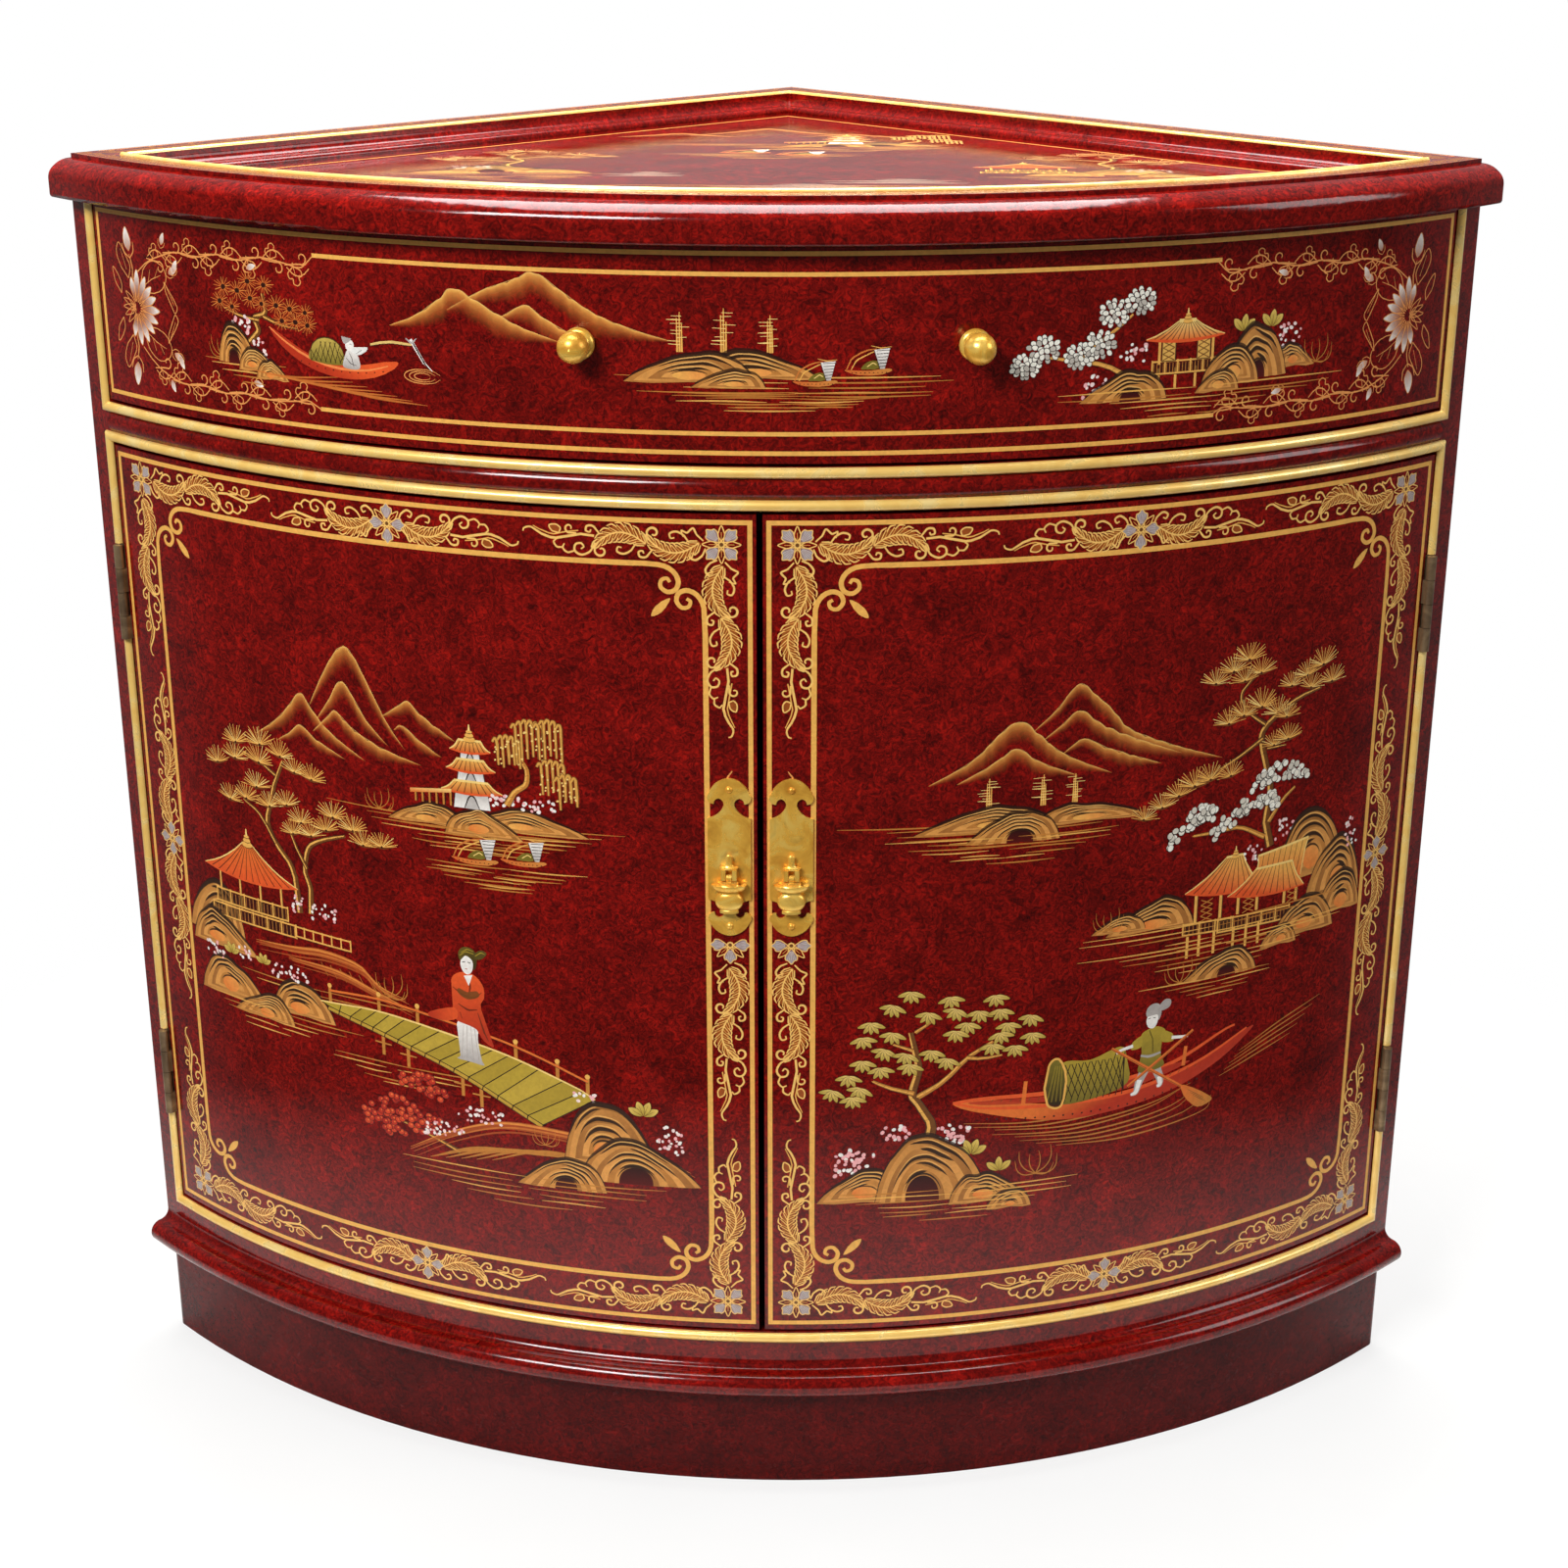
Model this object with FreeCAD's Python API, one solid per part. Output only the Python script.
import FreeCAD, Part
import math
import os

os.makedirs("parts", exist_ok=True)

Vec = FreeCAD.Vector
UP = Vec(0, 0, 1)
ORIGIN = Vec(0, 0, 0)

# Plan: a quarter circle struck from the back corner, with its two flat sides on the room walls.
FRONT_R = 495.0
TOTAL_H = 674.0

# Tray top
TOP_OVERHANG = 12.0
TOP_T = 20.5
TOP_QUIRK = 2.0
TOP_ROUND_RUN = 13.5
TOP_ROUND_DROP = 9.5
TOP_NOSE_R = 2.0
TRAY_FRONT_W = 29.0
TRAY_BACK_W = 28.0
TRAY_LIP_D = 3.0
TRAY_DEPTH = 10.5
TRAY_PANEL_T = 8.0
TRAY_MOULD_RUN = 10.0
TRAY_MOULD_SET = 2.0
TRAY_FILLET = 1.5
TRAY_COVE_R = 4.5

# Carcass
WALL_T = 10.0
RAIL_T = 20.0
POST_W = 30.0
CLEAT_W = 18.0
BOARD_T = 10.0

# Front divisions, from the floor up
PLINTH_H = 57.0
PLINTH_END_R = 6.0
BASE_MOULD_H = 19.0
BASE_MOULD_PROJ = 12.0
BASE_NOSE_R = 6.5
BOTTOM_RAIL_H = 15.5
MID_RAIL_H = 21.0
MID_RAIL_SWELL = 2.4
DRAWER_OPENING_H = 101.5
STILE_W = 18.5
BEAD_D = 5.2
BEAD_SET = 0.2
BOTTOM_BEAD_D = 5.4
BOTTOM_BEAD_DROP = 3.4

# Moving fronts
FRONT_T = 18.0
REVEAL = 1.5
SIDE_REVEAL = 1.2
MEETING_GAP = 3.0

# Drawer box
DRAWER_W = 410.0
DRAWER_SIDE_T = 10.0
DRAWER_SIDE_H = 75.0
DRAWER_BACK_CLEAR = 7.0
DRAWER_BOTTOM_T = 4.0
DRAWER_BOTTOM_SET = 5.0
RUNNER_W = 22.0
GUIDE_W = 8.0
GUIDE_H = 14.0
RUN_CLEARANCE = 0.4
STOP_L = 14.0

# Shelf
SHELF_RISE = 220.5
SHELF_T = 12.0
SHELF_SET = 55.0

# Butt hinges
HINGE_L = 51.0
HINGE_INSET = 78.0
BARREL_D = 5.0
PIN_D = 2.0
PIN_CLEARANCE = 0.05
KNUCKLES = 4
KNUCKLE_GAP = 0.3
LEAF_T = 1.0
LEAF_DEPTH = 15.0
LEAF_PROUD = 0.2
BARREL_CLEARANCE = 0.2
BARREL_OFFSET = 18.1

# Lock plates
PLATE_W = 21.0
PLATE_T = 1.2
PLATE_BODY_H = 42.5
PLATE_HEAD_H = 20.5
PLATE_FOOT_H = 19.0
PLATE_RISE = 25.0
PLATE_OFFSET = 15.0
PLATE_PIN_D = 3.6
PLATE_PIN_SHANK_D = 1.5
PLATE_PIN_L = 7.0

# Pagoda drop pulls
PULL_AXIS_RISE = 12.8
PULL_AXIS_OUT = 4.0
PULL_PIN_D = 1.6
PULL_EYE_R = 1.7
PULL_EYE_T = 2.6
PULL_CHEEK_T = 2.2
PULL_SIDE_CLEARANCE = 0.25
PULL_FLATTEN = 0.45
PULL_BACK_GAP = 0.5
PULL_SHANK_D = 3.0
PULL_SHANK_L = 10.0
PULL_ROOF_RISE = 4.2
PULL_ROOF_H = 3.2
PULL_EAVE = 0.7
DROP_GAP = 0.3
DROP_ROOF_W = 17.4
DROP_RIDGE_W = 9.0
DROP_BODY_W = 13.4
DROP_FOOT_W = 9.2
DROP_ROOF_H = 4.9
DROP_BAND_H = 1.3
DROP_BODY_H = 8.8
DROP_FOOT_H = 1.3

# Drawer knobs
KNOB_OFFSET = 90.0
KNOB_SHIFT = 8.0
KNOB_RISE = 4.5
KNOB_BALL_D = 14.6
KNOB_FLANGE_D = 15.0
KNOB_FLANGE_T = 4.0
KNOB_NECK_D = 8.5
KNOB_REACH = 18.8
KNOB_SCREW_D = 4.0
KNOB_SCREW_HEAD_D = 9.0
KNOB_SCREW_HEAD_T = 2.5
KNOB_SCREW_DEPTH = 9.0
KNOB_SCREW_SEAT = 0.05

# Magnetic catches
CATCH_W = 24.0
CATCH_D = 16.0
CATCH_H = 20.0
CATCH_GAP = 0.5
STRIKE_W = 20.0
STRIKE_H = 12.0
STRIKE_T = 1.0

# Derived levels and radii
TOP_R = FRONT_R + TOP_OVERHANG
BACK_Y = TOP_R / 2
TRAY_LIP_R = TRAY_LIP_D / 2
FRAME_TOP = TOTAL_H - TRAY_LIP_R
FRAME_Z = FRAME_TOP - TOP_T
TRAY_R = TOP_R - TRAY_FRONT_W
PANEL_TOP = FRAME_TOP - TRAY_DEPTH
RAIL_R = FRONT_R - RAIL_T
WALL_END = math.sqrt(RAIL_R ** 2 - WALL_T ** 2)
BASE_Z = PLINTH_H + BASE_MOULD_H
DOOR_SILL = BASE_Z + BOTTOM_RAIL_H
DRAWER_SILL = FRAME_Z - DRAWER_OPENING_H
MID_RAIL_Z = DRAWER_SILL - MID_RAIL_H
DOOR_Z0 = DOOR_SILL + REVEAL
DOOR_Z1 = MID_RAIL_Z - REVEAL
DRAWER_Z0 = DRAWER_SILL + REVEAL
DRAWER_Z1 = FRAME_Z - REVEAL
FRONT_IN_R = FRONT_R - FRONT_T
DUST_Z = MID_RAIL_Z + (MID_RAIL_H - BOARD_T) / 2
RUNNER_TOP = DRAWER_Z0 + 1.0
SHELF_Z = DOOR_SILL + SHELF_RISE
PLATE_Z = (DOOR_Z0 + DOOR_Z1) / 2 + PLATE_RISE
PULL_AXIS_Z = PLATE_Z + PULL_AXIS_RISE


def degrees_of(arc, radius=FRONT_R):
    """Angle at the back corner of an arc length on the front."""
    return math.degrees(arc / radius)


STILE_DEG = degrees_of(STILE_W)
FRONT_DEG = degrees_of(STILE_W + SIDE_REVEAL)
CENTRE_DEG = 45.0
FAR_DEG = 90.0


def to_room(shape):
    """Turn a shape from the corner frame, whose X and Y run along the two walls, into the room frame."""
    placed = shape.copy()
    placed.rotate(ORIGIN, UP, 225)
    placed.translate(Vec(0, BACK_Y, 0))
    return placed


def other_side(shape):
    """Mirror a shape in the room frame from the left half to the right half."""
    return shape.mirror(ORIGIN, Vec(1, 0, 0))


def write(name, *shapes):
    """Save one node, a single solid or several alike."""
    solids = [solid for shape in shapes for solid in shape.Solids]
    node = solids[0] if len(solids) == 1 else Part.makeCompound(solids)
    node.exportStep("parts/" + name + ".step")


def block(a0, a1, b0, b1, z0, z1):
    """Box in the corner frame between two distances along each wall and two heights."""
    return Part.makeBox(a1 - a0, b1 - b0, z1 - z0, Vec(a0, b0, z0))


def disc(radius, z0, z1):
    """Full cylinder about the back corner."""
    return Part.makeCylinder(radius, z1 - z0, Vec(0, 0, z0))


def ring(edges, start, end):
    """Sweep a closed outline, drawn as edges in radius and height, about the back corner."""
    face = Part.Face(Part.Wire(edges))
    face.rotate(ORIGIN, UP, start)
    return face.revolve(ORIGIN, UP, end - start)


def line(p, q):
    """Straight edge between two points given as across and up."""
    return Part.LineSegment(Vec(p[0], 0, p[1]), Vec(q[0], 0, q[1])).toShape()


def arc(p, via, q):
    """Circular edge through three points given as across and up."""
    return Part.Arc(Vec(p[0], 0, p[1]), Vec(via[0], 0, via[1]), Vec(q[0], 0, q[1])).toShape()


def quarter(centre, reach, rise):
    """Quarter ellipse from the point straight across from the centre to the point above or below it."""
    across = Vec(centre[0] + reach, 0, centre[1])
    tip = Vec(centre[0], 0, centre[1] + rise)
    via = Vec(centre[0] + reach * math.sqrt(0.5), 0, centre[1] + rise * math.sqrt(0.5))
    if abs(abs(reach) - abs(rise)) < 1e-6:
        return Part.Arc(across, via, tip).toShape()
    curve = Part.BSplineCurve()
    curve.interpolate(Points=[across, via, tip], Tangents=[Vec(0, 0, rise), Vec(-reach, 0, rise) * 0.5,
                      Vec(-reach, 0, 0)], TangentFlags=[True, True, True])
    return curve.toShape()


def closed(points):
    """Straight edges round a list of points."""
    return [line(p, q) for p, q in zip(points, points[1:] + points[:1])]


def band(r0, r1, z0, z1, start, end):
    """Plain curved board."""
    return ring(closed([(r0, z0), (r1, z0), (r1, z1), (r0, z1)]), start, end)


def half_round(radius, z, size, start, end):
    """Horizontal half-round bead lying on a curved face."""
    h = size / 2
    edges = [arc((radius, z - h), (radius + h, z), (radius, z + h)), line((radius, z + h), (radius, z - h))]
    return ring(edges, start, end)


def upright_bead(deg, z0, z1):
    """Vertical half-round bead on the front face."""
    spot = Vec(FRONT_R, 0, z0)
    bead = Part.makeCylinder(BEAD_D / 2, z1 - z0, spot)
    bead.rotate(ORIGIN, UP, deg)
    return bead.cut(disc(FRONT_R, z0, z1))


def on_front(shape, deg, radius=FRONT_R):
    """Carry a shape, built with X out, Y to the right and Z up, to an angle on the front."""
    placed = shape.copy()
    placed.translate(Vec(radius, 0, 0))
    placed.rotate(ORIGIN, UP, deg)
    return placed


# Back panels, corner post and front stiles
left_wall = block(0, WALL_END, 0, WALL_T, 0, FRAME_Z)
right_wall = block(0, WALL_T, WALL_T, WALL_END, 0, FRAME_Z)
write("back_panel_left", to_room(left_wall))
write("back_panel_right", to_room(right_wall))
post = block(WALL_T, WALL_T + POST_W, WALL_T, WALL_T + POST_W, 0, FRAME_Z)
write("corner_post", to_room(post))

stile = band(WALL_END - 2, FRONT_R, BASE_Z, FRAME_Z, 0, STILE_DEG)
stile = stile.common(block(WALL_END, TOP_R, 0, TOP_R, 0, TOTAL_H))

# Butt hinges, drawn about the barrel axis with X out and Y towards the door
BARREL_R = BARREL_D / 2
BARREL_AXIS_R = FRONT_R + BARREL_R + BARREL_CLEARANCE
HINGE_DEG = degrees_of(BARREL_OFFSET)
KNUCKLE_L = HINGE_L / KNUCKLES
STILE_EDGE = STILE_W - BARREL_OFFSET
DOOR_EDGE = STILE_EDGE + SIDE_REVEAL
LEAF_IN = FRONT_R - BARREL_AXIS_R - LEAF_DEPTH
HINGE_MIDS = [DOOR_Z0 + HINGE_INSET, DOOR_Z1 - HINGE_INSET]


def hinge_leaf(middle, first, y0, hole_d):
    """One leaf with every second knuckle, starting from the given one."""
    foot = middle - HINGE_L / 2
    leaf = Part.makeBox(LEAF_DEPTH, LEAF_T, HINGE_L, Vec(LEAF_IN, y0, foot))
    for k in range(first, KNUCKLES, 2):
        z0 = foot + k * KNUCKLE_L + KNUCKLE_GAP / 2
        tall = KNUCKLE_L - KNUCKLE_GAP
        barrel = Part.makeCylinder(BARREL_R, tall, Vec(0, 0, z0))
        neck = Part.makeBox(-LEAF_IN, LEAF_T, tall, Vec(LEAF_IN, y0, z0))
        leaf = leaf.fuse([barrel, neck])
    bore = Part.makeCylinder(hole_d / 2, HINGE_L, Vec(0, 0, foot))
    return leaf.cut(bore).removeSplitter()


FRAME_LEAF_Y = STILE_EDGE + LEAF_PROUD - LEAF_T
DOOR_LEAF_Y = DOOR_EDGE - LEAF_PROUD
DOOR_BORE = PIN_D + 2 * PIN_CLEARANCE


def at_hinge(shape):
    """Carry a hinge piece from the barrel axis to its place on the left stile."""
    return on_front(shape, HINGE_DEG, BARREL_AXIS_R)


frame_leaves = [at_hinge(hinge_leaf(m, 1, FRAME_LEAF_Y, PIN_D)) for m in HINGE_MIDS]
door_leaves = [at_hinge(hinge_leaf(m, 0, DOOR_LEAF_Y, DOOR_BORE)) for m in HINGE_MIDS]
pins = [at_hinge(Part.makeCylinder(PIN_D / 2, HINGE_L, Vec(0, 0, m - HINGE_L / 2))) for m in HINGE_MIDS]
for leaf in frame_leaves:
    stile = stile.cut(leaf)
write("front_stile_left", to_room(stile))
write("front_stile_right", other_side(to_room(stile)))
left_set = [to_room(s) for s in frame_leaves]
write("hinge_frame_leaves", *left_set, *[other_side(s) for s in left_set])
left_pins = [to_room(s) for s in pins]
write("hinge_pins", *left_pins, *[other_side(s) for s in left_pins])

# Plinth, base moulding, bottom rail and mid rail
plinth = band(RAIL_R, FRONT_R, 0, PLINTH_H, 0, FAR_DEG)
ends = [e for e in plinth.Edges if abs(e.Length - PLINTH_H) < 1e-6
        and e.Vertexes[0].Point.Length > (RAIL_R + FRONT_R) / 2]
plinth = plinth.makeFillet(PLINTH_END_R, ends)
write("plinth_front", to_room(plinth))
foot_block = block(WALL_END - POST_W, WALL_END, WALL_T, WALL_T + POST_W, 0, PLINTH_H)
foot_block = foot_block.common(disc(RAIL_R, 0, PLINTH_H))
write("plinth_blocks", to_room(foot_block), other_side(to_room(foot_block)))

cove = BASE_MOULD_PROJ - BASE_NOSE_R
nose = (FRONT_R + cove, PLINTH_H + BASE_NOSE_R)
nose_top = (nose[0], nose[1] + BASE_NOSE_R)
cove_top = (FRONT_R, nose_top[1] + cove)
base_edges = [line((RAIL_R, PLINTH_H), (nose[0], PLINTH_H)),
              arc((nose[0], PLINTH_H), (nose[0] + BASE_NOSE_R, nose[1]), nose_top),
              quarter((nose[0], cove_top[1]), -cove, -cove),
              line(cove_top, (FRONT_R, BASE_Z)),
              line((FRONT_R, BASE_Z), (RAIL_R, BASE_Z)),
              line((RAIL_R, BASE_Z), (RAIL_R, PLINTH_H))]
write("base_moulding", to_room(ring(Part.__sortEdges__(base_edges), 0, FAR_DEG)))
write("bottom_rail", to_room(band(RAIL_R, FRONT_R, BASE_Z, DOOR_SILL, STILE_DEG, FAR_DEG - STILE_DEG)))
mid_low_z = MID_RAIL_Z + BEAD_D / 2 + BEAD_SET
mid_high_z = DRAWER_SILL - BEAD_D / 2 - BEAD_SET
swell_z0 = mid_low_z + BEAD_D / 2 + BEAD_SET
swell_z1 = mid_high_z - BEAD_D / 2 - BEAD_SET
mid_edges = [line((RAIL_R, MID_RAIL_Z), (FRONT_R, MID_RAIL_Z)),
             line((FRONT_R, MID_RAIL_Z), (FRONT_R, swell_z0)),
             arc((FRONT_R, swell_z0), (FRONT_R + MID_RAIL_SWELL, (swell_z0 + swell_z1) / 2), (FRONT_R, swell_z1)),
             line((FRONT_R, swell_z1), (FRONT_R, DRAWER_SILL)),
             line((FRONT_R, DRAWER_SILL), (RAIL_R, DRAWER_SILL)),
             line((RAIL_R, DRAWER_SILL), (RAIL_R, MID_RAIL_Z))]
write("mid_rail", to_room(ring(mid_edges, STILE_DEG, FAR_DEG - STILE_DEG)))

# Gilt beads frame the drawer and the doors: mitred at the corners, and cut through by the hinges
BEAD_DEG = STILE_DEG - degrees_of(BEAD_D / 2)
bottom_bead_z = DOOR_SILL - BOTTOM_BEAD_DROP
LOW_HINGE, HIGH_HINGE = HINGE_MIDS
HINGE_REACH = HINGE_L / 2 + KNUCKLE_GAP


def mitre_half(z, toward, upright):
    """Half of the corner where an upright, running up or down from z, meets a level bead on its right."""
    far = BEAD_D * 2
    tip = -far if upright else far
    points = [Vec(-far, -far, -far), Vec(-far, far, far), Vec(-far, tip, -tip)]
    points = [Vec(p.x, p.y, z + p.z * toward) for p in points]
    half = Part.Face(Part.makePolygon(points + points[:1])).extrude(Vec(far * 2, 0, 0))
    return on_front(half, BEAD_DEG)


def upright_run(z0, z1, foot=False, head=False):
    """Upright bead between two heights, mitred at the ends that meet a level bead."""
    low = z0 - BEAD_D if foot else z0
    high = z1 + BEAD_D if head else z1
    run = upright_bead(BEAD_DEG, low, high)
    if foot:
        run = run.cut(mitre_half(z0, 1, False))
    if head:
        run = run.cut(mitre_half(z1, -1, False))
    return run


uprights = [upright_run(bottom_bead_z, LOW_HINGE - HINGE_REACH, foot=True),
            upright_run(LOW_HINGE + HINGE_REACH, HIGH_HINGE - HINGE_REACH),
            upright_run(HIGH_HINGE + HINGE_REACH, mid_low_z, head=True),
            upright_run(mid_high_z, FRAME_Z, foot=True)]
room_uprights = [to_room(b) for b in uprights]
write("stile_bead_left", *room_uprights)
write("stile_bead_right", *[other_side(b) for b in room_uprights])


def level_bead(z, size, toward):
    """Half-round bead between two uprights that run up or down from it, with a short mitred piece at each end."""
    bead = to_room(half_round(FRONT_R, z, size, STILE_DEG, FAR_DEG - STILE_DEG))
    end = half_round(FRONT_R, z, size, BEAD_DEG - degrees_of(BEAD_D), STILE_DEG)
    end = to_room(end.cut(mitre_half(z, toward, True)))
    return bead, end, other_side(end)


write("mid_bead_lower", *level_bead(mid_low_z, BEAD_D, -1))
write("mid_bead_upper", *level_bead(mid_high_z, BEAD_D, 1))
write("bottom_bead", *level_bead(bottom_bead_z, BOTTOM_BEAD_D, 1))

# Tray top: curved front rail with a quirked round edge, back rails, coped inner mouldings, lip and panel
flat_end = (TOP_R - TOP_ROUND_RUN, FRAME_TOP)
quirk = (flat_end[0], FRAME_TOP - TOP_QUIRK)
swell = (TOP_R, quirk[1] - TOP_ROUND_DROP)
nose_start = (TOP_R, FRAME_Z + TOP_NOSE_R)
under = (TOP_R - TOP_NOSE_R, FRAME_Z)
rail_edges = [line((TRAY_R, FRAME_Z), (TRAY_R, FRAME_TOP)),
              line((TRAY_R, FRAME_TOP), flat_end),
              line(flat_end, quirk),
              quarter((quirk[0], swell[1]), TOP_ROUND_RUN, TOP_ROUND_DROP),
              line(swell, nose_start),
              quarter((under[0], nose_start[1]), TOP_NOSE_R, -TOP_NOSE_R),
              line(under, (TRAY_R, FRAME_Z))]
write("top_front_rail", to_room(ring(Part.__sortEdges__(rail_edges), 0, FAR_DEG)))
tray_disc = disc(TRAY_R, FRAME_Z, TOTAL_H)
back_rail = block(0, TRAY_R, 0, TRAY_BACK_W, FRAME_Z, FRAME_TOP).common(tray_disc)
write("top_back_rail_left", to_room(back_rail))
other_rail = block(0, TRAY_BACK_W, TRAY_BACK_W, TRAY_R, FRAME_Z, FRAME_TOP).common(tray_disc)
write("top_back_rail_right", to_room(other_rail))
panel_z = PANEL_TOP - TRAY_PANEL_T
panel = block(TRAY_BACK_W, TRAY_R, TRAY_BACK_W, TRAY_R, panel_z, PANEL_TOP).common(tray_disc)
write("top_panel", to_room(panel))


def tray_mould_edges(base, toward):
    """Cove over a round, from the frame's inner face at base towards the middle of the tray."""
    top = FRAME_TOP - TRAY_MOULD_SET
    fillet = base + toward * TRAY_FILLET
    cove_end = (fillet + toward * TRAY_COVE_R, top - TRAY_COVE_R)
    cove_via = (fillet + toward * TRAY_COVE_R * (1 - math.sqrt(0.5)), top - TRAY_COVE_R * math.sqrt(0.5))
    tip = base + toward * TRAY_MOULD_RUN
    step = TRAY_MOULD_RUN - TRAY_FILLET - TRAY_COVE_R - 1.0
    round_start = (tip - toward * step, cove_end[1])
    round_via = (tip - toward * step * (1 - math.sqrt(0.5)), cove_end[1] - step * (1 - math.sqrt(0.5)))
    return [line((base, PANEL_TOP), (base, top)),
            line((base, top), (fillet, top)),
            arc((fillet, top), cove_via, cove_end),
            line(cove_end, round_start),
            arc(round_start, round_via, (tip, cove_end[1] - step)),
            line((tip, cove_end[1] - step), (tip, PANEL_TOP)),
            line((tip, PANEL_TOP), (base, PANEL_TOP))]


def along_left_wall(edges, length):
    """Straight strip beside the left wall, its outline given as distance from that wall and height."""
    face = Part.Face(Part.Wire(edges))
    face.rotate(ORIGIN, UP, 90)
    return face.extrude(Vec(length, 0, 0))


def lip_edges(middle):
    """Half-round lip standing on the frame."""
    west = (middle - TRAY_LIP_R, FRAME_TOP)
    east = (middle + TRAY_LIP_R, FRAME_TOP)
    return [arc(west, (middle, TOTAL_H), east), line(east, west)]


def mitre_side(outer_r, outer_b, inner_r, inner_b):
    """Everything in front of the mitre line where a strip on the curve meets a strip on the left wall."""
    outer = Vec(math.sqrt(outer_r ** 2 - outer_b ** 2), outer_b, 0)
    inner = Vec(math.sqrt(inner_r ** 2 - inner_b ** 2), inner_b, 0)
    run = (inner - outer).normalize() * FRONT_R * 2
    out = Vec(FRONT_R, FRONT_R, 0)
    corners = [outer - run, inner + run, inner + run + out, outer - run + out]
    return Part.Face(Part.makePolygon(corners + corners[:1])).extrude(Vec(0, 0, TOTAL_H))


mitre = mitre_side(TRAY_R, TRAY_BACK_W, TRAY_R - TRAY_MOULD_RUN, TRAY_BACK_W + TRAY_MOULD_RUN)
left_half = Part.makeBox(TOP_R, TOP_R * 2, TOTAL_H, Vec(-TOP_R, -TOP_R, 0))
front_mould = ring(tray_mould_edges(TRAY_R, -1), 0, FAR_DEG).common(mitre)
write("tray_moulding_front", to_room(front_mould.common(mitre.mirror(ORIGIN, Vec(1, -1, 0)))))
left_mould = along_left_wall(tray_mould_edges(TRAY_BACK_W, 1), TRAY_R).cut(mitre)
left_mould = to_room(left_mould).common(left_half)
write("tray_moulding_left", left_mould)
write("tray_moulding_right", other_side(left_mould))

lip_r = TRAY_R + TRAY_LIP_R
lip_deg = math.degrees(math.asin((TRAY_BACK_W - TRAY_LIP_D) / lip_r))
front_lip = to_room(ring(lip_edges(lip_r), lip_deg, FAR_DEG - lip_deg))
lip_end = math.sqrt(TRAY_R ** 2 - TRAY_BACK_W ** 2)
left_lip = to_room(along_left_wall(lip_edges(TRAY_BACK_W - TRAY_LIP_R), lip_end)).common(left_half)
write("tray_lip_bead", front_lip, left_lip, other_side(left_lip))

# Boards inside, each fitted round the corner post
inside = block(WALL_T, TOP_R, WALL_T, TOP_R, 0, TOTAL_H).cut(post)
stile_room = stile.fuse(stile.mirror(ORIGIN, Vec(1, -1, 0)))


def inner_board(radius, z0, z1):
    """Quarter-round board between the walls."""
    board = disc(radius, z0, z1).common(inside).cut(stile_room)
    return to_room(board)


def wall_cleats(z1, tall, reach):
    """Pair of strips along the walls, from the corner post towards the front."""
    strip = block(WALL_T + POST_W, reach, WALL_T, WALL_T + CLEAT_W, z1 - tall, z1)
    return to_room(strip), other_side(to_room(strip))


write("bottom_board", inner_board(RAIL_R, DOOR_SILL - BOARD_T, DOOR_SILL))
write("bottom_cleats", *wall_cleats(DOOR_SILL - BOARD_T, CLEAT_W, WALL_END - POST_W - 1.0))
shelf_r = FRONT_R - SHELF_SET
write("shelf", inner_board(shelf_r, SHELF_Z, SHELF_Z + SHELF_T))
write("shelf_cleats", *wall_cleats(SHELF_Z, CLEAT_W, shelf_r - POST_W))
write("dust_board", inner_board(RAIL_R, DUST_Z, DUST_Z + BOARD_T))
write("dust_cleats", *wall_cleats(DUST_Z, CLEAT_W, shelf_r))
write("top_cleats", *wall_cleats(FRAME_Z, CLEAT_W, shelf_r))

# Drawer, in the room frame
half_w = DRAWER_W / 2
front_arc = Part.makeCylinder(FRONT_IN_R, TOTAL_H, Vec(0, BACK_Y, 0))
box_z0 = RUNNER_TOP + RUN_CLEARANCE
box_z1 = box_z0 + DRAWER_SIDE_H
box_back = BACK_Y - half_w - WALL_T * math.sqrt(2) - DRAWER_BACK_CLEAR
reach = DRAWER_W + FRONT_R
side_in = half_w - DRAWER_SIDE_T
side = Part.makeBox(DRAWER_SIDE_T, reach, DRAWER_SIDE_H, Vec(side_in, box_back - reach, box_z0))
side = side.common(front_arc)
bottom_z = box_z0 + DRAWER_BOTTOM_SET
back_y0 = box_back - DRAWER_SIDE_T
bottom = Part.makeBox(2 * side_in, reach, DRAWER_BOTTOM_T, Vec(-side_in, back_y0 - reach, bottom_z))
bottom = bottom.common(front_arc)
back = Part.makeBox(2 * side_in, DRAWER_SIDE_T, DRAWER_SIDE_H, Vec(-side_in, back_y0, box_z0))
write("drawer_side_right", side)
write("drawer_side_left", other_side(side))
write("drawer_bottom", bottom)
write("drawer_back", back)

# Knobs turned about their own axis, with a screw from inside the drawer
ball_r = KNOB_BALL_D / 2
ball_out = KNOB_REACH - ball_r
flange_r = KNOB_FLANGE_D / 2
neck_r = KNOB_NECK_D / 2
ball_meet = ball_out - math.sqrt(ball_r ** 2 - neck_r ** 2)
soft = KNOB_FLANGE_T / 4
flange_front = (KNOB_FLANGE_T, flange_r - soft * 2)
knob_edges = [line((0, 0), (0, flange_r - soft)),
              arc((0, flange_r - soft), (soft * 2, flange_r), flange_front),
              arc(flange_front, (KNOB_FLANGE_T + soft, neck_r + soft / 2), (ball_meet, neck_r)),
              arc((ball_meet, neck_r), (ball_out, ball_r), (KNOB_REACH, 0)),
              line((KNOB_REACH, 0), (0, 0))]
knob = Part.Face(Part.Wire(knob_edges)).revolve(ORIGIN, Vec(1, 0, 0), 360)
screw_r = KNOB_SCREW_D / 2
seat_x = -FRONT_T - KNOB_SCREW_SEAT
back_x = seat_x - KNOB_SCREW_HEAD_T
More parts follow.
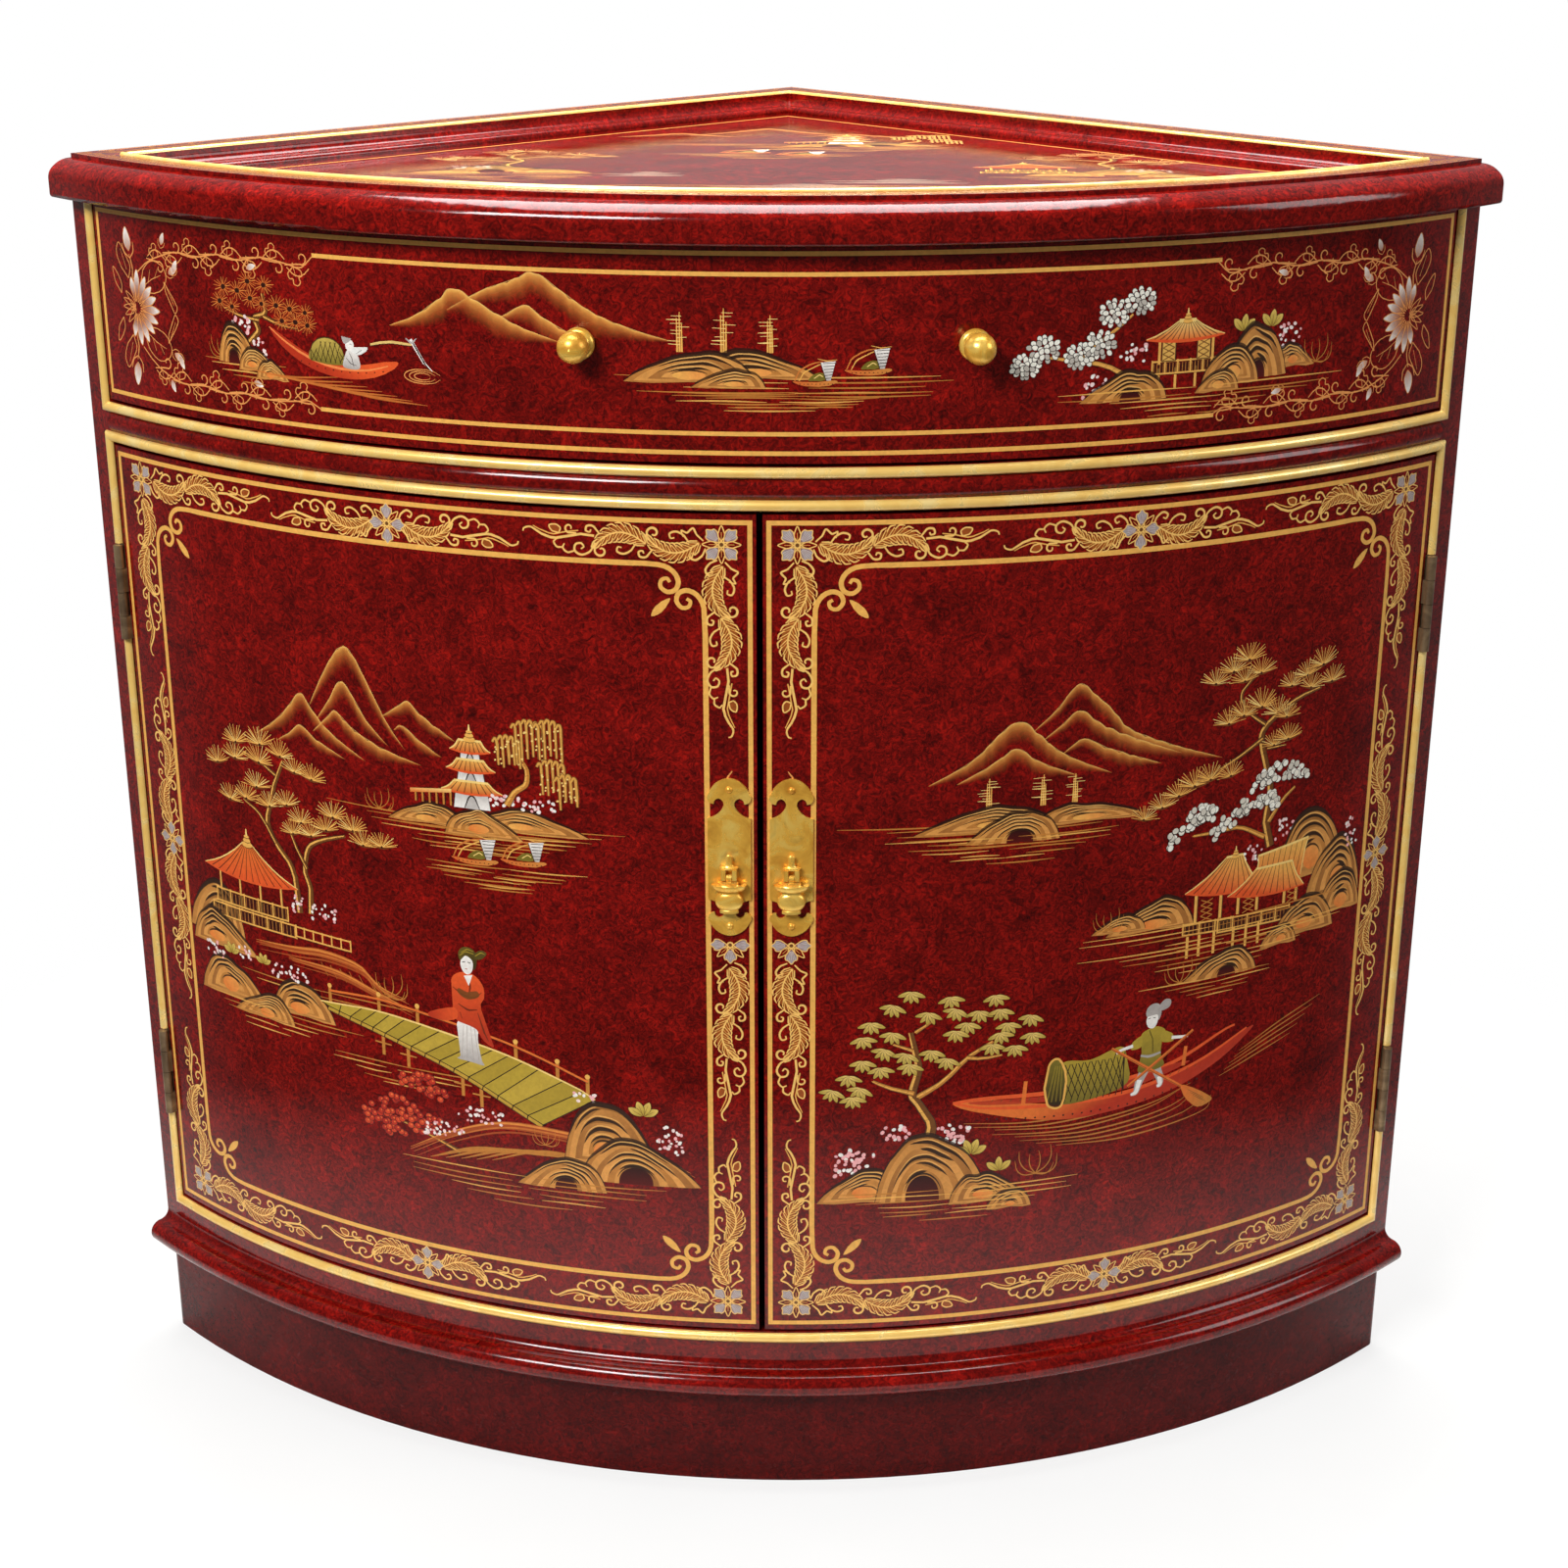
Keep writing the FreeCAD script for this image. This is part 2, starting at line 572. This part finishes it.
shank = Part.makeCylinder(screw_r, KNOB_SCREW_DEPTH - seat_x, Vec(seat_x, 0, 0), Vec(1, 0, 0))
head = Part.makeCylinder(KNOB_SCREW_HEAD_D / 2, KNOB_SCREW_HEAD_T, Vec(back_x, 0, 0), Vec(1, 0, 0))
knob = knob.cut(shank)
knob_z = (DRAWER_Z0 + DRAWER_Z1) / 2 + KNOB_RISE


def knob_places(shape):
    """Both places of a knob piece on the drawer front, pointing out from the back corner."""
    raised = shape.copy()
    raised.translate(Vec(0, 0, knob_z))
    return [to_room(on_front(raised, CENTRE_DEG + degrees_of(KNOB_SHIFT + side * KNOB_OFFSET)))
            for side in (-1, 1)]


seat_left, seat_right = knob_places(shank)
ring_front = to_room(band(FRONT_IN_R, FRONT_R, DRAWER_Z0, DRAWER_Z1, FRONT_DEG, FAR_DEG - FRONT_DEG))
write("drawer_front", ring_front.cut(seat_left).cut(seat_right))
write("knobs", *knob_places(knob))
write("knob_screws", *knob_places(shank.fuse(head).removeSplitter()))

# Runners carry the drawer sides and guide them; stops meet the drawer back
run_y1 = box_back - STOP_L / 2
runner = Part.makeBox(RUNNER_W, reach, RUNNER_TOP - DUST_Z - BOARD_T,
                      Vec(half_w + GUIDE_W - RUNNER_W, run_y1 - reach, DUST_Z + BOARD_T))
guide = Part.makeBox(GUIDE_W - RUN_CLEARANCE, reach, GUIDE_H,
                     Vec(half_w + RUN_CLEARANCE, run_y1 - reach, RUNNER_TOP))
front_stop = Part.makeCylinder(FRONT_IN_R - 4 * RUN_CLEARANCE, TOTAL_H, Vec(0, BACK_Y, 0))
rail_stop = Part.makeCylinder(RAIL_R, TOTAL_H, Vec(0, BACK_Y, 0))
side_walls = to_room(inside)
runner = runner.common(rail_stop).fuse(guide.common(front_stop)).common(side_walls).removeSplitter()
write("drawer_runners", runner, other_side(runner))
stop = Part.makeBox(STOP_L * 2, STOP_L, GUIDE_H + RUNNER_TOP - DUST_Z - BOARD_T,
                    Vec(half_w / 2, box_back + RUN_CLEARANCE, DUST_Z + BOARD_T))
write("drawer_stops", stop, other_side(stop))

# Doors with mortises for the hinge leaves
door = band(FRONT_IN_R, FRONT_R, DOOR_Z0, DOOR_Z1, FRONT_DEG, CENTRE_DEG - degrees_of(MEETING_GAP / 2))
for leaf in door_leaves:
    door = door.cut(leaf)

# Lock plate outline: a hooked, domed head, a plain body, and the head repeated smaller at the foot
plate_half = PLATE_W / 2


def scrolled_end(base_z, tall):
    """Right-hand edges of a head, from the corner of the body to the middle of the dome."""
    def spot(across, up):
        return (across * plate_half, base_z + up * tall)
    corner, neck, lobe, tip = spot(1, 0), spot(0.28, 0.28), spot(0.48, 0.5), spot(0.7, 0.36)
    shoulder, crown = spot(0.93, 0.62), spot(0, 1)
    return [arc(corner, spot(0.54, 0.1), neck),
            arc(neck, spot(0.3, 0.44), lobe),
            arc(lobe, spot(0.61, 0.47), tip),
            arc(tip, spot(0.98, 0.44), shoulder),
            arc(shoulder, spot(0.53, 0.9), crown)]


head_z = PLATE_Z + PLATE_BODY_H
right_edges = scrolled_end(head_z, PLATE_HEAD_H) + scrolled_end(PLATE_Z, -PLATE_FOOT_H)
right_edges.append(line((plate_half, PLATE_Z), (plate_half, head_z)))
left_edges = [e.mirror(ORIGIN, Vec(1, 0, 0)) for e in right_edges]
outline = Part.Wire(Part.__sortEdges__(right_edges + left_edges))
plate_face = Part.Face(outline)
plate_face.rotate(ORIGIN, UP, 90)
plate = plate_face.extrude(Vec(PLATE_T * 3, 0, 0))
plate.translate(Vec(-PLATE_T, 0, 0))
PLATE_DEG = CENTRE_DEG - degrees_of(PLATE_OFFSET)
shell = disc(FRONT_R + PLATE_T, 0, TOTAL_H).cut(disc(FRONT_R, 0, TOTAL_H))
plate = on_front(plate, PLATE_DEG).common(shell)


def along_out(diameter, x0, x1, z):
    """Round bar pointing out from the front."""
    return Part.makeCylinder(diameter / 2, x1 - x0, Vec(x0, 0, z), Vec(1, 0, 0))


def dome_pin(z):
    """Round-headed pin through the plate into the door."""
    dome = Part.makeSphere(PLATE_PIN_D / 2, Vec(PLATE_T * 0.6, 0, z))
    front = along_out(PLATE_PIN_D * 2, PLATE_T, PLATE_T * 4, z)
    nail = along_out(PLATE_PIN_SHANK_D, -PLATE_PIN_L, PLATE_T + PLATE_PIN_D / 4, z)
    return dome.common(front).fuse(nail).removeSplitter()


PIN_LEVELS = [PLATE_Z - PLATE_FOOT_H * 0.72, head_z + PLATE_HEAD_H * 0.72]
plate_pins = [on_front(dome_pin(z), PLATE_DEG) for z in PIN_LEVELS]
shanks = [along_out(PLATE_PIN_SHANK_D, -PLATE_PIN_L, PLATE_T * 2, z) for z in PIN_LEVELS]

# Pull bracket: two cheeks under a small pagoda roof and finial, with a cross pin for the drop
cheek_in = PULL_EYE_T / 2 + PULL_SIDE_CLEARANCE
cheek_out = cheek_in + PULL_CHEEK_T
axis_z = PULL_AXIS_Z
cheek_z0 = axis_z - PULL_PIN_D * 0.8
roof_z = axis_z + PULL_ROOF_RISE
cheek_front = PULL_AXIS_OUT + PULL_PIN_D * 0.75


def flattened(edges, middle_out):
    """Turned form about an upright axis, pressed thin from front to back."""
    turned = Part.Face(Part.Wire(Part.__sortEdges__(edges))).revolve(ORIGIN, UP, 360)
    squeeze = FreeCAD.Matrix()
    squeeze.scale(Vec(PULL_FLATTEN, 1, 1))
    pressed = turned.transformGeometry(squeeze)
    pressed.translate(Vec(middle_out, 0, 0))
    return pressed


cheek_z1 = roof_z + PULL_ROOF_H / 16
cheeks = [block(PLATE_T, cheek_front, y, y + PULL_CHEEK_T, cheek_z0, cheek_z1)
          for y in (cheek_in, -cheek_out)]
web = block(PLATE_T, PLATE_T + PULL_BACK_GAP, -cheek_in, cheek_in, cheek_z0, roof_z)
roof_top = roof_z + PULL_ROOF_H
finial_top = roof_top + PULL_ROOF_H
finial_tip = (0, finial_top + cheek_in * 0.7)
roof_tip = (cheek_out + PULL_EAVE, roof_z + PULL_ROOF_H * 0.34)
roof_under = (cheek_out + PULL_EAVE * 0.7, roof_z + PULL_ROOF_H * 0.1)
roof_edges = [line((0, roof_z), (cheek_out, roof_z)),
              arc((cheek_out, roof_z), roof_under, roof_tip),
              arc(roof_tip, (cheek_in + PULL_EAVE * 1.4, roof_z + PULL_ROOF_H * 0.47), (cheek_in, roof_top)),
              line((cheek_in, roof_top), (cheek_in, finial_top)),
              arc((cheek_in, finial_top), (cheek_in * 0.7, finial_top + cheek_in / 2), finial_tip),
              line(finial_tip, (0, roof_z))]
roof_out = PLATE_T + (cheek_front - PLATE_T) / 2
roof = flattened(roof_edges, roof_out)
backing = block(PLATE_T, roof_out, -cheek_in, cheek_in, roof_z, roof_z + PULL_ROOF_H * 1.6)
stud = along_out(PULL_SHANK_D, -PULL_SHANK_L, PLATE_T + PULL_BACK_GAP, roof_z - PULL_SHANK_D / 2)
front_side = block(PLATE_T, PLATE_T * 20, -PLATE_W, PLATE_W, 0, TOTAL_H)
bracket = roof.common(front_side).fuse(cheeks + [web, backing, stud])


def across(radius, half_l):
    """Round bar on the axis of the pull."""
    return Part.makeCylinder(radius, 2 * half_l, Vec(PULL_AXIS_OUT, -half_l, axis_z), Vec(0, 1, 0))


cross_pin = across(PULL_PIN_D / 2, cheek_out)
bracket = bracket.cut(cross_pin).removeSplitter()
bracket = on_front(bracket, PLATE_DEG)
cross_pin = on_front(cross_pin, PLATE_DEG)

# Pagoda drop: main roof with upturned eaves, neck band, swelling body and foot band, hung by an eye
drop_top = axis_z - PULL_EYE_R - DROP_GAP
roof_end = drop_top - DROP_ROOF_H
body_top = roof_end - DROP_BAND_H
foot_top = body_top - DROP_BODY_H
drop_end = foot_top - DROP_FOOT_H
drop_half = DROP_ROOF_W / 2
ridge_half = DROP_RIDGE_W / 2
body_half = DROP_BODY_W / 2
foot_half = DROP_FOOT_W / 2
ridge = (ridge_half, drop_top - DROP_BAND_H)
eave = (drop_half, drop_top - DROP_ROOF_H * 0.29)
waist = (foot_half * 0.85, foot_top + DROP_FOOT_H * 0.3)
drop_edges = [line((0, drop_top), (ridge_half, drop_top)),
              line((ridge_half, drop_top), ridge),
              arc(ridge, (drop_half * 0.76, drop_top - DROP_ROOF_H * 0.51), eave),
              arc(eave, (drop_half * 0.84, drop_top - DROP_ROOF_H * 0.8), (foot_half, roof_end)),
              line((foot_half, roof_end), (foot_half, body_top)),
              arc((foot_half, body_top), (body_half, body_top - DROP_BODY_H * 0.36), waist),
              line(waist, (foot_half, foot_top)),
              line((foot_half, foot_top), (foot_half, drop_end)),
              line((foot_half, drop_end), (0, drop_end)),
              line((0, drop_end), (0, drop_top))]
drop = flattened(drop_edges, PULL_AXIS_OUT)
drop_room = block(PLATE_T + PULL_BACK_GAP, PLATE_T * 20, -PLATE_W, PLATE_W, 0, TOTAL_H)
eye_y = PULL_EYE_T / 2
eye = across(PULL_EYE_R, eye_y)
hanger_half = PULL_EYE_R * 0.8
hanger = block(PULL_AXIS_OUT - hanger_half, PULL_AXIS_OUT + hanger_half, -eye_y, eye_y,
               drop_top - DROP_BAND_H / 2, axis_z)
eye_bore = across(PULL_PIN_D / 2 + PIN_CLEARANCE, eye_y)
drop = drop.common(drop_room).fuse([eye, hanger]).cut(eye_bore).removeSplitter()
drop = to_room(on_front(drop, PLATE_DEG))

for fixing in shanks + [stud]:
    door = door.cut(on_front(fixing, PLATE_DEG))
    plate = plate.cut(on_front(fixing, PLATE_DEG))

# Catches under the dust board and strikes on the doors
STRIKE_DEG = CENTRE_DEG - degrees_of(MEETING_GAP + STRIKE_W)
strike_span = degrees_of(STRIKE_W)
strike_z = DOOR_Z1 - STRIKE_H - REVEAL
strike_end = STRIKE_DEG + strike_span
strike_r = FRONT_IN_R - STRIKE_T
strike = band(strike_r, FRONT_IN_R, strike_z, strike_z + STRIKE_H, STRIKE_DEG, strike_end)
catch_out = strike_r - CATCH_GAP - FRONT_R
catch = Part.makeBox(CATCH_D, CATCH_W, CATCH_H, Vec(catch_out - CATCH_D, -CATCH_W / 2, DUST_Z - CATCH_H))
catch = on_front(catch, STRIKE_DEG + strike_span / 2).common(disc(RAIL_R, 0, TOTAL_H))
write("door_catches", to_room(catch), other_side(to_room(catch)))

DOOR_NODES = [("door_panel", [to_room(door)]), ("hinge_leaves", [to_room(s) for s in door_leaves]),
              ("lock_plate", [to_room(plate)]), ("plate_pins", [to_room(s) for s in plate_pins]),
              ("pull_bracket", [to_room(bracket)]), ("pull_pin", [to_room(cross_pin)]),
              ("catch_strike", [to_room(strike)]), ("pagoda_drop", [drop])]
for name, shapes in DOOR_NODES:
    write("left_" + name, *shapes)
    write("right_" + name, *[other_side(s) for s in shapes])
